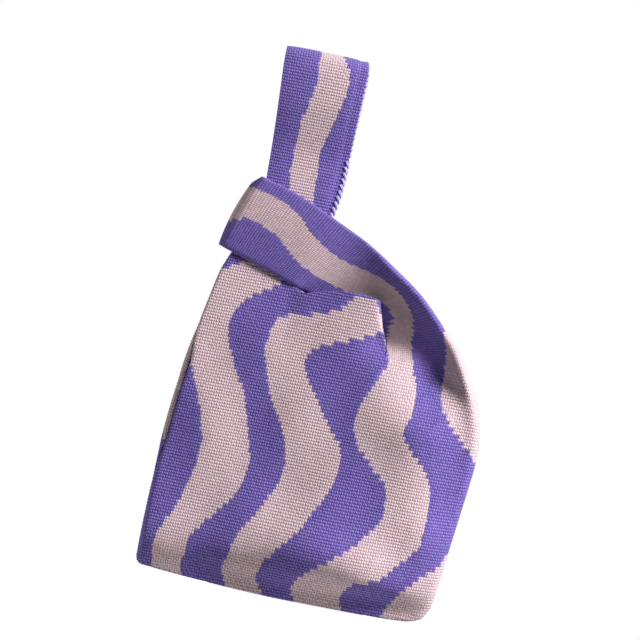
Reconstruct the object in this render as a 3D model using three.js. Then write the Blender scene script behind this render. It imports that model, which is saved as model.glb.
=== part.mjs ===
// Small knitted knot bag, hung by its long handle, with the long handle drawn through the short one.
// Millimetres. The origin is under the top of the long handle's arch. +X runs from the long handle
// towards the short handle's shoulder, -Y is the front and +Z is up.
import * as THREE from "three";

// Fabric, thread and the room between layers
const knitThickness = 3;
const liningThickness = 0.8;
const layerGap = 0.5;
const seamGap = 1.6;
const seamThread = 0.9;
const edgeThread = 2;

// Long handle
const handleWidth = 55;
const gripSpan = 26;
const gripFlat = 10;
const gripLength = 38;
const legLength = 24;
const legGap = 1.2;
const rootWidth = 44;
const rootInset = 5;
const rootDrop = 2;

// Short handle, drawn across the long one
const loopDrop = 83;
const loopLean = THREE.MathUtils.degToRad(18);
const strapWidth = 51.5;
const strapCrown = 1.2;
const strapLean = 9;
const leanStartShare = 0.5;
const leanEase = 1.5;
const strapBendReach = 54.5;
const strapBendFall = 14;
const strapLowerReach = 50;
const strapLowerFall = 17;
const shoulderTopDrop = 128;
const shoulderBendReach = 23;
const shoulderBendFall = 13;
const pocketDrop = 170;

// Body, measured along the inside of its edges
const bottomDrop = 345;
const tuckDrop = 320;
const hipDrop = 236;
const pleatFootDrop = 181;
const leftReach = 53;
const rightReach = 135;
const leftTaper = 8.5;
const hipFlare = 8.5;
const shoulderTaper = 6.5;
const leftCorner = 5;
const rightCorner = 12;
const bottomSag = 2.5;
const sagFade = 2.5;
const bellyBulge = 16.5;
const waistBulge = 12;
const mouthBulge = 8.4;
const sideBulge = 8;
const leftRoll = 5;
const rightRoll = 9;

// Soft swells and a dent of the hanging fabric: their heights
const shoulderSwell = 4;
const flankSwell = 4;
const bellySwell = 2;
const bottomDent = 4.5;

// Fold at the foot of the short handle's shoulder
const foldDepth = 6;
const foldStartShare = 0.8;
const foldPlaceShare = 0.85;
const foldSpreadShare = 0.1;
const shoulderFade = 2.2;
const shoulderFootShare = 0.2;

// Flap of the front neckline, and the notch where the short handle crosses it
const flapRise = 23;
const flapRunIn = 8.5;
const flapDip = 3;
const flapCrest = 0.5;
const flapCornerFall = 1.5;
const flapCurl = 1.5;
const flapStandOff = 1;
const notchWidth = 30;
const crossGap = 0.8;
const squareRise = 15;
const armBulge = 1.5;

// Lining pouch, inside the body
const liningInset = 7;
const liningHemDrop = 12;
const liningLift = 20;
const liningRoom = 2;

// Facets
const bodyColumns = 24;
const pleatShare = 0.625;
const bodyRowsPerSpan = 3;
const armRowsPerSpan = 2;
const shoulderShares = [0, 0.2, 0.4, 0.6, 0.8, 0.94, 1];
const rimStartShare = 0.94;
const strapColumns = 6;
const strapSteps = 16;
const turnSteps = 4;
const archSteps = 8;
const threadSides = 6;

// Places that follow from the sizes above
const edgeDepth = seamGap / 2;
const strapDepth = edgeDepth + knitThickness + layerGap;
const flapDepth = strapDepth + strapCrown + knitThickness + layerGap + flapStandOff;
const rootHalf = rootWidth / 2;
const handleHalf = handleWidth / 2;
const rootTopHalf = rootHalf + 0.3 * (handleHalf - rootHalf);
const rootTop = -(gripLength + legLength);
const bottom = -bottomDrop;
const tuck = -tuckDrop;
const hip = -hipDrop;
const pleatFoot = -pleatFootDrop;
const columnsToPleat = Math.round(pleatShare * bodyColumns);

const plan = (x, z) => new THREE.Vector2(x, z);
const mix = THREE.MathUtils.lerp;
const ease = (value) => THREE.MathUtils.smoothstep(value, 0, 1);
const crown = (t) => Math.sqrt(Math.max(0, 4 * t * (1 - t)));
const edgeSpaced = (share) => 0.5 - 0.5 * Math.cos(Math.PI * share);
const rolled = (distance, reach) => Math.sqrt(1 - (1 - Math.min(1, distance / reach)) ** 2);

/** Smooth curve through plan points, read by its own parameter so paired curves keep their pairs. */
function edgeThrough(points) {
  const curve = new THREE.CatmullRomCurve3(points.map((p) => new THREE.Vector3(p.x, 0, p.y)));
  curve.curveType = "centripetal";
  return (s) => {
    const point = curve.getPoint(s);
    return plan(point.x, point.z);
  };
}

/** Smooth value through evenly paired numbers. */
function valueThrough(values) {
  const curve = edgeThrough(values.map((value, k) => plan(k, value)));
  return (s) => curve(s).y;
}

const forward = new THREE.Vector3(0, -1, 0);

/** Plan point and depth as a point of the front half of the bag. */
const frontPoint = (p, depth) => new THREE.Vector3(p.x, -depth, p.y);

/**
 * Closed solid from patches of one open sheet: each patch is rows of points, seen from outside.
 * The sheet thickens along its normals, turned square to the middle plane by the share square(p).
 */
function thickSheet(patches, thickness, square = () => 0) {
  const points = [];
  const known = new Map();
  const triangles = [];
  const vertex = (p) => {
    const key = [p.x, p.y, p.z].map((value) => value.toFixed(3)).join(" ");
    if (!known.has(key)) {
      known.set(key, points.length);
      points.push(p);
    }
    return known.get(key);
  };
  const triangle = (a, b, c) => {
    if (a !== b && b !== c && c !== a) {
      triangles.push([a, b, c]);
    }
  };
  for (const rows of patches) {
    const ids = rows.map((row) => row.map(vertex));
    for (let j = 0; j + 1 < ids.length; j += 1) {
      for (let i = 0; i + 1 < ids[j].length; i += 1) {
        triangle(ids[j][i], ids[j][i + 1], ids[j + 1][i + 1]);
        triangle(ids[j][i], ids[j + 1][i + 1], ids[j + 1][i]);
      }
    }
  }
  const sheet = new THREE.BufferGeometry().setFromPoints(points);
  sheet.setIndex(triangles.flat());
  sheet.computeVertexNormals();
  const normals = sheet.getAttribute("normal");
  const outer = points.map((p, k) => {
    const normal = new THREE.Vector3().fromBufferAttribute(normals, k);
    return p.clone().addScaledVector(normal.lerp(forward, square(p)).normalize(), thickness);
  });
  const lift = points.length;
  const directed = new Set(triangles.flatMap(([a, b, c]) => [`${a} ${b}`, `${b} ${c}`, `${c} ${a}`]));
  const faces = [];
  for (const [a, b, c] of triangles) {
    faces.push(a + lift, b + lift, c + lift, c, b, a);
    for (const [from, to] of [[a, b], [b, c], [c, a]]) {
      if (!directed.has(`${to} ${from}`)) {
        faces.push(from, to, to + lift, from, to + lift, from + lift);
      }
    }
  }
  const solid = new THREE.BufferGeometry().setFromPoints([...points, ...outer]);
  solid.setIndex(faces);
  return solid;
}

/** The same solid on the other side of the bag's middle plane. */
function mirrored(geometry) {
  const copy = geometry.clone().scale(1, -1, 1);
  const count = copy.getAttribute("position").count;
  const corners = copy.index ? [...copy.index.array] : [...Array(count).keys()];
  copy.setIndex(corners.reverse());
  return copy;
}

/** Round thread along points. */
function thread(points, diameter) {
  const circle = new THREE.Shape();
  for (let k = 0; k < threadSides; k += 1) {
    const angle = (2 * Math.PI * k) / threadSides;
    const x = (diameter / 2) * Math.cos(angle);
    const y = (diameter / 2) * Math.sin(angle);
    if (k === 0) {
      circle.moveTo(x, y);
    } else {
      circle.lineTo(x, y);
    }
  }
  circle.closePath();
  const path = new THREE.CatmullRomCurve3(points);
  return new THREE.ExtrudeGeometry(circle, { steps: points.length - 1, extrudePath: path });
}

// Short handle's edges: from the end of its loop to where it meets the shoulder
const turnRadius = strapDepth - edgeDepth;
const loopEndUpper = plan(-rootHalf - turnRadius, -loopDrop);
const loopEndLower = plan(
  loopEndUpper.x - strapWidth * Math.sin(loopLean),
  loopEndUpper.y - strapWidth * Math.cos(loopLean),
);

// Body edges, paired point for point from the bottom to the foot of the pleat
const underarmLeft = plan(-leftReach + leftTaper, pleatFoot);
const underarmRight = plan(rightReach - shoulderTaper, pleatFoot);
const lowSide = mix(tuck, hip, 0.25);
const midSide = mix(tuck, hip, 0.61);
const highSide = mix(hip, pleatFoot, 0.55);
const bodyLeft = edgeThrough([
  plan(-leftReach + leftCorner, bottom),
  plan(-leftReach, bottom + leftCorner),
  plan(-leftReach + 0.02 * leftTaper, tuck),
  plan(-leftReach + 0.06 * leftTaper, lowSide),
  plan(-leftReach + 0.15 * leftTaper, midSide),
  plan(-leftReach + 0.35 * leftTaper, hip),
  plan(-leftReach + 0.62 * leftTaper, highSide),
  underarmLeft,
]);
const bodyRight = edgeThrough([
  plan(rightReach - rightCorner, bottom),
  plan(rightReach, bottom + rightCorner),
  plan(rightReach + 0.15 * hipFlare, tuck),
  plan(rightReach + 0.3 * hipFlare, lowSide),
  plan(rightReach + 0.65 * hipFlare, midSide),
  plan(rightReach + hipFlare, hip),
  plan(rightReach + 0.47 * hipFlare, highSide),
  underarmRight,
]);
const bodySpans = 7;
const bulge = valueThrough([
  0,
  0.27 * bellyBulge,
  0.92 * bellyBulge,
  bellyBulge,
  waistBulge,
  waistBulge,
  mix(waistBulge, mouthBulge, 0.5),
  mouthBulge,
]);
const sideRise = valueThrough([
  0,
  0.22 * sideBulge,
  sideBulge,
  0.88 * sideBulge,
  0.46 * sideBulge,
  0.39 * sideBulge,
  0.36 * sideBulge,
  0.3 * sideBulge,
]);
const bulgeAcross = valueThrough([0, 0.12, 0.22, 0.39, 0.65, 0.86, 1, 0.79, 0]);
const rightEdgeDepth = valueThrough([
  edgeDepth,
  edgeDepth,
  edgeDepth,
  edgeDepth,
  edgeDepth,
  edgeDepth,
  mix(edgeDepth, strapDepth, 0.45),
  strapDepth,
]);

/** Plan point of the body at a share s of its height and t of its width. */
function bodyPlan(s, t) {
  const point = bodyLeft(s).lerp(bodyRight(s), t);
  const sag = bottomSag * crown(t) * (1 - ease(sagFade * s));
  return point.setY(point.y - sag);
}

/** Depth that the fold under the short handle's shoulder takes from the body. */
function foldAt(s, t) {
  const along = ease((s - foldStartShare) / (1 - foldStartShare));
  return foldDepth * along * Math.exp(-(((t - foldPlaceShare) / foldSpreadShare) ** 2));
}

/** Soft hump of the fabric, one high, at a place of the body in shares of its height and width. */
const hump = (s, t, place) =>
  Math.exp(-(((s - place.s) / place.along) ** 2) - ((t - place.t) / place.across) ** 2);

const shoulderPlace = { s: 0.75, t: 0.78, along: 0.075, across: 0.1 };
const flankPlace = { s: 0.48, t: 0.92, along: 0.08, across: 0.09 };
const bellyPlace = { s: 0.39, t: 0.56, along: 0.1, across: 0.2 };
const dentPlace = { s: 0.18, t: 0.79, along: 0.06, across: 0.12 };

/** Height that the soft swells and the dent add to the body. */
function swellAt(s, t) {
  const raised = shoulderSwell * hump(s, t, shoulderPlace) + flankSwell * hump(s, t, flankPlace);
  return raised + bellySwell * hump(s, t, bellyPlace) - bottomDent * hump(s, t, dentPlace);
}

/** Inside of the body's fabric, from the middle plane: its sides roll in to the seams. */
function bodyDepth(s, t) {
  const width = bodyRight(s).x - bodyLeft(s).x;
  const smooth = sideRise(s) * (1 - 0.6 * t) + bulge(s) * bulgeAcross(t);
  const full = smooth + swellAt(s, t) - foldAt(s, t);
  const sides = rolled(t * width, leftRoll) * rolled((1 - t) * width, rightRoll);
  return mix(edgeDepth, rightEdgeDepth(s), t ** 4) + Math.max(0, full) * sides;
}

function bodyRows() {
  const count = bodySpans * bodyRowsPerSpan;
  return Array.from({ length: count + 1 }, (unusedRow, j) =>
    Array.from({ length: bodyColumns + 1 }, (unusedColumn, i) => {
      const t = edgeSpaced(i / bodyColumns);
      return frontPoint(bodyPlan(j / count, t), bodyDepth(j / count, t));
    }));
}

const body = bodyRows();
const topRow = body[body.length - 1];
const pleatX = topRow[columnsToPleat].x;

// The short handle's shoulder ends at the pleat, on the same line as the strap
const shoulderTop = plan(pleatX, -shoulderTopDrop);
const shoulderEdge = new THREE.QuadraticBezierCurve(
  shoulderTop,
  plan(pleatX + shoulderBendReach, -shoulderTopDrop - shoulderBendFall),
  underarmRight,
);
const strapUpper = new THREE.QuadraticBezierCurve(
  loopEndUpper,
  plan(loopEndUpper.x + strapBendReach, loopEndUpper.y - strapBendFall),
  plan(pleatX - layerGap, -shoulderTopDrop),
);
const strapLower = new THREE.QuadraticBezierCurve(
  loopEndLower,
  plan(loopEndLower.x + strapLowerReach, loopEndLower.y - strapLowerFall),
  plan(pleatX - layerGap, -pocketDrop),
);

// Neckline: up the pleat, along the flap, under the strap's crossing and up the long handle's root
const flapTop = flapRise - pocketDrop;
const flapCorner = plan(pleatX - flapRunIn, flapTop - flapCornerFall);
const below = (share) => {
  const point = strapLower.getPoint(share);
  return plan(point.x, point.y - crossGap);
};
const crossing = below(0.52);
const notchEdge = below(0.44);
const notchX = rootHalf - notchWidth;
const neckline = edgeThrough([
  plan(pleatX, pleatFoot),
  plan(pleatX - 0.35 * flapRunIn, mix(pleatFoot, flapTop, 0.45)),
  flapCorner,
  plan(mix(flapCorner.x, crossing.x, 0.38), flapTop + flapCrest),
  plan(mix(flapCorner.x, crossing.x, 0.74), flapTop - flapDip),
  crossing,
  notchEdge,
  plan(notchX, mix(notchEdge.y, -loopDrop, 0.17)),
  plan(notchX + 0.07 * notchWidth, mix(notchEdge.y, -loopDrop, 0.38)),
  plan(notchX + 0.4 * notchWidth, mix(notchEdge.y, -loopDrop, 0.6)),
  plan(notchX + 0.87 * notchWidth, mix(notchEdge.y, -loopDrop, 0.78)),
  plan(rootHalf, -loopDrop),
  plan(rootTopHalf, rootTop),
]);
const rootLow = plan(loopEndLower.x + rootInset, loopEndLower.y - rootDrop);
const rootHigh = plan(-rootHalf, -loopDrop);
const armLeft = edgeThrough([
  underarmLeft,
  underarmLeft.clone().lerp(rootLow, 0.1),
  underarmLeft.clone().lerp(rootLow, 0.19),
  underarmLeft.clone().lerp(rootLow, 0.28),
  underarmLeft.clone().lerp(rootLow, 0.37),
  underarmLeft.clone().lerp(rootLow, 0.46),
  underarmLeft.clone().lerp(rootLow, 0.6),
  underarmLeft.clone().lerp(rootLow, 0.8),
  rootLow,
  rootLow.clone().lerp(rootHigh, 0.35),
  rootLow.clone().lerp(rootHigh, 0.7),
  rootHigh,
  plan(-rootTopHalf, rootTop),
]);
const armSpans = 12;
const necklineDepth = valueThrough([
  topRow[columnsToPleat].y * -1,
  mix(flapDepth, -topRow[columnsToPleat].y, 0.6),
  flapDepth + flapCurl,
  flapDepth + 0.4 * flapCurl,
  flapDepth,
  mix(edgeDepth, flapDepth, 0.8),
  edgeDepth,
  edgeDepth,
  edgeDepth,
  edgeDepth,
  edgeDepth,
  edgeDepth,
  edgeDepth,
]);
const armSwell = valueThrough([1, 0.85, 0.65, 0.5, 0.35, 0.25, 0, 0, 0, 0, 0, 0, 0]);

/** The neckline side of a panel: its flap and the root of the long handle. */
function armRows() {
  const base = topRow.slice(0, columnsToPleat + 1);
  const width = base[columnsToPleat].x - base[0].x;
  const count = armSpans * armRowsPerSpan;
  return Array.from({ length: count + 1 }, (unused, j) => {
    const s = j / count;
    return base.map((foot) => {
      const share = (foot.x - base[0].x) / width;
      const swell = armBulge * armSwell(s) * Math.sin(Math.PI * share);
      const depth = mix(edgeDepth, necklineDepth(s), share) + swell;
      const settled = mix(-foot.y, depth, ease(2 * s));
      return frontPoint(armLeft(s).lerp(neckline(s), share), settled);
    });
  });
}

/** How far the short handle leans out, at a share of its width from its lower edge. */
function leanAt(share) {
  const upper = Math.max(0, (share - leanStartShare) / (1 - leanStartShare));
  return strapLean * upper ** leanEase;
}

/** The short handle's shoulder on a panel, from the body up to its rounded outer edge. */
function shoulderPatch() {
  const base = topRow.slice(columnsToPleat);
  const width = base[base.length - 1].x - base[0].x;
  return shoulderShares.map((s) => base.map((foot) => {
    const share = (foot.x - base[0].x) / width;
    const rim = strapCrown * (1 - share);
    const rounding = (rim * Math.max(0, s - rimStartShare)) / (1 - rimStartShare);
    const lean = leanAt((s - shoulderFootShare) / (1 - shoulderFootShare)) * (1 - share ** 2);
    const settled = mix(-foot.y, strapDepth + rim, ease(shoulderFade * s)) - rounding + lean;
    return frontPoint(plan(foot.x, foot.z).lerp(shoulderEdge.getPoint(share), s), settled);
  }));
}

const squareAbove = (p) => (p.x < pleatX ? ease((p.z - pleatFoot) / squareRise) : 0);
const panel = thickSheet([body, armRows(), shoulderPatch()], knitThickness, squareAbove);

// Lining: a pouch of the body's shape, its edges set in and its bulge drawn in by its own thickness
function liningRows() {
  const first = liningLift / (bottomDrop - pleatFootDrop);
  const last = 1 - liningHemDrop / (bottomDrop - pleatFootDrop);
  const count = bodySpans * bodyRowsPerSpan - 2;
  const columns = bodyColumns / 2;
  return Array.from({ length: count + 1 }, (unusedRow, j) => {
    const s = mix(first, last, j / count);
    const inset = liningInset / (bodyRight(s).x - bodyLeft(s).x);
    return Array.from({ length: columns + 1 }, (unusedColumn, i) => {
      const t = edgeSpaced(i / columns);
      const across = mix(inset, 1 - inset, t);
      const closing = ease(4 * (j / count) + 0.25);
      const drawn = Math.max(0, bodyDepth(s, across) - edgeDepth - liningRoom) * closing;
      return frontPoint(bodyPlan(s, across), edgeDepth + drawn * crown(t));
    });
  });
}

const lining = thickSheet([liningRows()], liningThickness);

/** Half of the short handle: along the strap, then a quarter turn to the loop's end. */
function strapRows() {
  const rows = [];
  const length = strapUpper.getLength();
  for (let k = 0; k <= strapSteps; k += 1) {
    const share = 1 - (k / strapSteps) * (1 - turnRadius / length);
    const lean = ease((share - 0.2) / 0.6);
    rows.push([strapLower.getPoint(share), strapUpper.getPoint(share), strapDepth, strapCrown, lean]);
  }
  const start = rows[rows.length - 1];
  for (let k = 1; k <= turnSteps; k += 1) {
    const angle = (Math.PI / 2) * (k / turnSteps);
    const reach = Math.sin(angle);
    rows.push([
      start[0].clone().lerp(loopEndLower, reach),
      start[1].clone().lerp(loopEndUpper, reach),
      edgeDepth + turnRadius * Math.cos(angle),
      strapCrown * Math.cos(angle),
      0,
    ]);
  }
  return rows.map(([low, high, depth, crowned, lean]) =>
    Array.from({ length: strapColumns + 1 }, (unused, i) => {
      const share = edgeSpaced(i / strapColumns);
      const rise = crowned * crown(share) + lean * leanAt(share);
      return frontPoint(low.clone().lerp(high, share), depth + rise);
    }));
}

const strap = thickSheet([strapRows()], knitThickness);

/** Half of the arch's inside, from its open end up to the middle of its flat top. */
function archInside() {
  const half = gripSpan / 2;
  const round = half - gripFlat / 2;
  const points = [plan(half, -gripLength)];
  for (let k = 0; k <= archSteps; k += 1) {
    const angle = (Math.PI / 2) * (k / archSteps);
    points.push(plan(gripFlat / 2 + round * Math.cos(angle), round * (Math.sin(angle) - 1)));
  }
  return points;
}

/** The held arch of the long handle: its section in Y and Z, drawn out across the band. */
function gripGeometry() {
  const half = gripSpan / 2;
  const round = half - gripFlat / 2;
  const section = new THREE.Shape();
  const inside = archInside();
  section.moveTo(inside[0].x, inside[0].y);
  for (const p of inside.slice(1)) {
    section.lineTo(p.x, p.y);
  }
  for (const p of inside.slice().reverse()) {
    section.lineTo(-p.x, p.y);
  }
  section.lineTo(-half - knitThickness, -gripLength);
  for (let k = 0; k <= archSteps; k += 1) {
    const angle = Math.PI - (Math.PI / 2) * (k / archSteps);
    const reach = round + knitThickness;
    section.lineTo(-gripFlat / 2 + reach * Math.cos(angle), -round + reach * Math.sin(angle));
  }
  for (let k = 0; k <= archSteps; k += 1) {
    const angle = (Math.PI / 2) * (1 - k / archSteps);
    const reach = round + knitThickness;
    section.lineTo(gripFlat / 2 + reach * Math.cos(angle), -round + reach * Math.sin(angle));
  }
  section.lineTo(half + knitThickness, -gripLength);
  section.closePath();
  const geometry = new THREE.ExtrudeGeometry(section, { depth: handleWidth, bevelEnabled: false });
  const across = new THREE.Matrix4().makeBasis(
    new THREE.Vector3(0, 1, 0),
    new THREE.Vector3(0, 0, 1),
    new THREE.Vector3(1, 0, 0),
  );
  return geometry.applyMatrix4(across).translate(-handleHalf, 0, 0);
}

/** Bending stretch of the long handle, between its root and the arch. */
const legDepth = (s) => mix(edgeDepth, gripSpan / 2, ease(s));
const legHalf = (s) => mix(rootTopHalf, handleHalf, ease(s));
const legHeight = (s) => mix(rootTop + legGap, -gripLength - legGap, s);

function legRows() {
  const count = 8;
  const columns = 4;
  return Array.from({ length: count + 1 }, (unusedRow, j) => {
    const s = j / count;
    return Array.from({ length: columns + 1 }, (unusedColumn, i) =>
      frontPoint(plan(mix(-legHalf(s), legHalf(s), i / columns), legHeight(s)), legDepth(s)));
  });
}

const leg = thickSheet([legRows()], knitThickness);

// Overcast thread beside the long handle's edge on the neckline side
const besideEdge = layerGap + edgeThread / 2;
const midFabric = knitThickness / 2;

function gripEdgePoints() {
  const half = gripSpan / 2 + midFabric;
  const round = half - gripFlat / 2;
  const front = [frontPoint(plan(handleHalf + besideEdge, -gripLength), half)];
  for (let k = 0; k <= archSteps; k += 1) {
    const angle = (Math.PI / 2) * (k / archSteps);
    const depth = gripFlat / 2 + round * Math.cos(angle);
    const height = midFabric - round + round * Math.sin(angle);
    front.push(frontPoint(plan(handleHalf + besideEdge, height), depth));
  }
  const back = front.map((p) => new THREE.Vector3(p.x, -p.y, p.z)).reverse();
  return [...front, ...back];
}

const shares = (count) => Array.from({ length: count + 1 }, (unused, k) => k / count);
const legEdge = thread(
  shares(8).map((s) => frontPoint(plan(legHalf(s) + besideEdge, legHeight(s)), legDepth(s) + midFabric)),
  edgeThread,
);
const rootEdge = thread(
  shares(4).map((s) => frontPoint(
    plan(mix(rootTopHalf, rootHalf, s) + besideEdge, mix(rootTop, -loopDrop, s)),
    edgeDepth + midFabric,
  )),
  edgeThread,
);

// Seam threads between the front and the back panel, in the middle of the fabric's edge
const seamSet = knitThickness / 2;
const sideSeam = (edge, outward, last) => thread(
  shares(10).map((s) => {
    const point = edge(mix(0.2, last, s));
    return frontPoint(plan(point.x + outward * seamSet, point.y), 0);
  }),
  seamThread,
);
const bottomSeam = thread(
  shares(12).map((s) => {
    const point = bodyPlan(0, mix(0.02, 0.98, s));
    return frontPoint(plan(point.x, point.y + seamSet), 0);
  }),
  seamThread,
);
const loopSeam = thread(
  shares(6).map((s) => {
    const point = loopEndUpper.clone().lerp(loopEndLower, mix(0.04, 0.96, s));
    return frontPoint(plan(point.x - seamSet, point.y), 0);
  }),
  seamThread,
);

// Colours of the two yarns and the lining
const violet = new THREE.Color("#6a5aa8");
const blush = new THREE.Color("#d2bcc0");
const plum = new THREE.Color("#4d4186");
const knit = () => new THREE.MeshStandardMaterial({ color: violet, roughness: 0.95, metalness: 0 });
const cloth = () => new THREE.MeshStandardMaterial({ color: plum, roughness: 0.9, metalness: 0 });
const yarn = () => new THREE.MeshStandardMaterial({ color: blush, roughness: 0.9, metalness: 0 });

const bag = new THREE.Group();

function add(name, geometry, material) {
  const mesh = new THREE.Mesh(geometry, material);
  mesh.name = name;
  bag.add(mesh);
}

add("front_panel", panel, knit());
add("back_panel", mirrored(panel), knit());
add("front_lining", lining, cloth());
add("back_lining", mirrored(lining), cloth());
add("left_side_seam", sideSeam(bodyLeft, -1, 0.97), yarn());
add("right_side_seam", sideSeam(bodyRight, 1, 0.7), yarn());
add("bottom_seam", bottomSeam, yarn());
add("long_handle_grip", gripGeometry(), knit());
add("long_handle_front_leg", leg, knit());
add("long_handle_back_leg", mirrored(leg), knit());
add("grip_edge_seam", thread(gripEdgePoints(), edgeThread), yarn());
add("front_leg_edge_seam", legEdge, yarn());
add("back_leg_edge_seam", mirrored(legEdge), yarn());
add("front_root_edge_seam", rootEdge, yarn());
add("back_root_edge_seam", mirrored(rootEdge), yarn());
add("short_handle_front", strap, knit());
add("short_handle_back", mirrored(strap), knit());
add("short_handle_loop_seam", loopSeam, yarn());

export default bag;
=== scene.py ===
# Small knitted knot bag in two wavy stripes, hung by its long handle.
# Plan sizes are millimetres in the shared frame: x to the right, z up, depth out of the middle plane.
import math

import bpy
import numpy as np
from mathutils import Matrix, Vector


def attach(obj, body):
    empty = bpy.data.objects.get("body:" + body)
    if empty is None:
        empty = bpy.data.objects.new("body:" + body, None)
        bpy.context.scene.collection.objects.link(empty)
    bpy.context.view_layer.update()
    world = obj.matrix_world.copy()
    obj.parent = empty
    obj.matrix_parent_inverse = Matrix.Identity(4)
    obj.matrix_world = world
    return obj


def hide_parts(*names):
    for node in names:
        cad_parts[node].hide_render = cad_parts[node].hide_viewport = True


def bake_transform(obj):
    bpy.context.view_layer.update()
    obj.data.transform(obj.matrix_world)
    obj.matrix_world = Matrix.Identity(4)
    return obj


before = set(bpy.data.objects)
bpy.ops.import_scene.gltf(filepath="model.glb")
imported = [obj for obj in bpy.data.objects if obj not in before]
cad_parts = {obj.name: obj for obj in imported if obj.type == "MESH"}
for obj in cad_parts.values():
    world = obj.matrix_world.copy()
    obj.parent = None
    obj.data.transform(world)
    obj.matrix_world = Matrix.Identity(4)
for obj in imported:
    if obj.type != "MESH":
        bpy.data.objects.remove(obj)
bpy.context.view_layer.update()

MM = 0.001

# Knit of the panels and the long handle: one stitch across and one row up, both worked at half steps
STITCH = 3.2
ROW = 1.93
STEP_X = STITCH / 2
STEP_Z = ROW / 2
STITCH_RISE = 0.14
STITCH_GAP = 0.02
ROW_GAP = -0.15

# Finer knit of the short handle
STRAP_STITCH = 2.5
STRAP_ROW = 1.8
STRAP_ROW_RISE = 0.05
STRAP_ROW_GAP = -0.05

# Thickness of the knit, and height of its outer face over the middle plane at a seam
FABRIC = 2.2
SEAM_DEPTH = 0.4

# Height where the short handle's shoulder starts, x of the fold at its foot, top of the long handle's root
CUT = -181.0
PLEAT = 75.0
ROOT_TOP = -104.0

# Plan edges of the panels, each from its first to its last point
LEFT = [
    (-24, -104), (-28.5, -118), (-36, -136), (-40.2, -148), (-43.6, -166), (-46.2, -182), (-47, -194),
    (-46.6, -207), (-48.2, -224), (-49.8, -242), (-51, -258), (-52.4, -268), (-54.2, -280), (-55, -292),
    (-55.2, -322), (-55, -338),
]
BOTTOM = [(-45.5, -344.3), (-20, -345.8), (25, -347.4), (70, -347), (110, -345.8), (125, -344.6)]
RIGHT = [
    (138, -333), (139.6, -318), (140.8, -304), (143.5, -276), (145.8, -252), (147, -236), (146.4, -221),
    (141, -201), (131, -181), (120.6, -166), (110.3, -156),
]
FOLD = [(PLEAT, CUT), (74.4, -175), (73, -169), (71, -165), (68.7, -158.6), (66.8, -152), (65.6, -148.4)]
FLAP_TOP = [(63.2, -145.4), (58, -144.6), (48, -144.3), (40, -144.9), (28, -147.5), (17.5, -151)]
NOTCH = [(17.5, -151), (12, -149.5), (8.5, -145), (8, -135), (13, -120), (22, -104)]

# Short handle, from the body's cut to the turn of its loop
STRAP_INNER = [
    (PLEAT, CUT), (75, -176), (73, -170), (60, -164), (40, -158.5), (17.5, -151.2), (4.5, -147),
    (-10.5, -142), (-27, -137.3), (-39.5, -133.5),
]
STRAP_OUTER = [
    (131, -181), (120.6, -166), (110.3, -156), (90, -137), (69.8, -123.5), (49.5, -111.5), (29.5, -102.5),
    (9.5, -94), (-9, -87.5), (-23.5, -84),
]
TURN_REACH = 5.2
TURN_BULGE = 2.8
TURN_TAPER = 0.6
TURN_LENGTH = 16

# Long handle: path of its outer face, as depth and height, from the root to the top of the arch
HANDLE_PATH = [
    (3.0, -116), (3.0, -90), (3.1, -70), (4.6, -60), (8.6, -47), (12.6, -34), (14.9, -20), (15.2, -9),
    (13.6, -2), (9.5, 1.6), (4.5, 2.7), (0, 2.9),
]
# Its left edge, and its right edge on each leg, as height and x
HANDLE_LEFT = [
    (-116, -22), (-90, -22.9), (-81, -23.4), (-60, -24.2), (-42, -25), (-25, -26), (-10, -27), (3, -27.4),
]
HANDLE_RIGHT_FRONT = [
    (-116, 21.5), (-99, 23.6), (-84, 25.8), (-66, 26.4), (-45, 26.6), (-20, 26.9), (-6, 27), (0, 26.4),
    (3, 25.4),
]
HANDLE_RIGHT_BACK = [
    (-116, 20.5), (-99, 22.4), (-84, 24.4), (-66, 25.2), (-45, 26), (-20, 26.7), (-6, 27), (0, 26.4),
    (3, 25.4),
]

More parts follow.
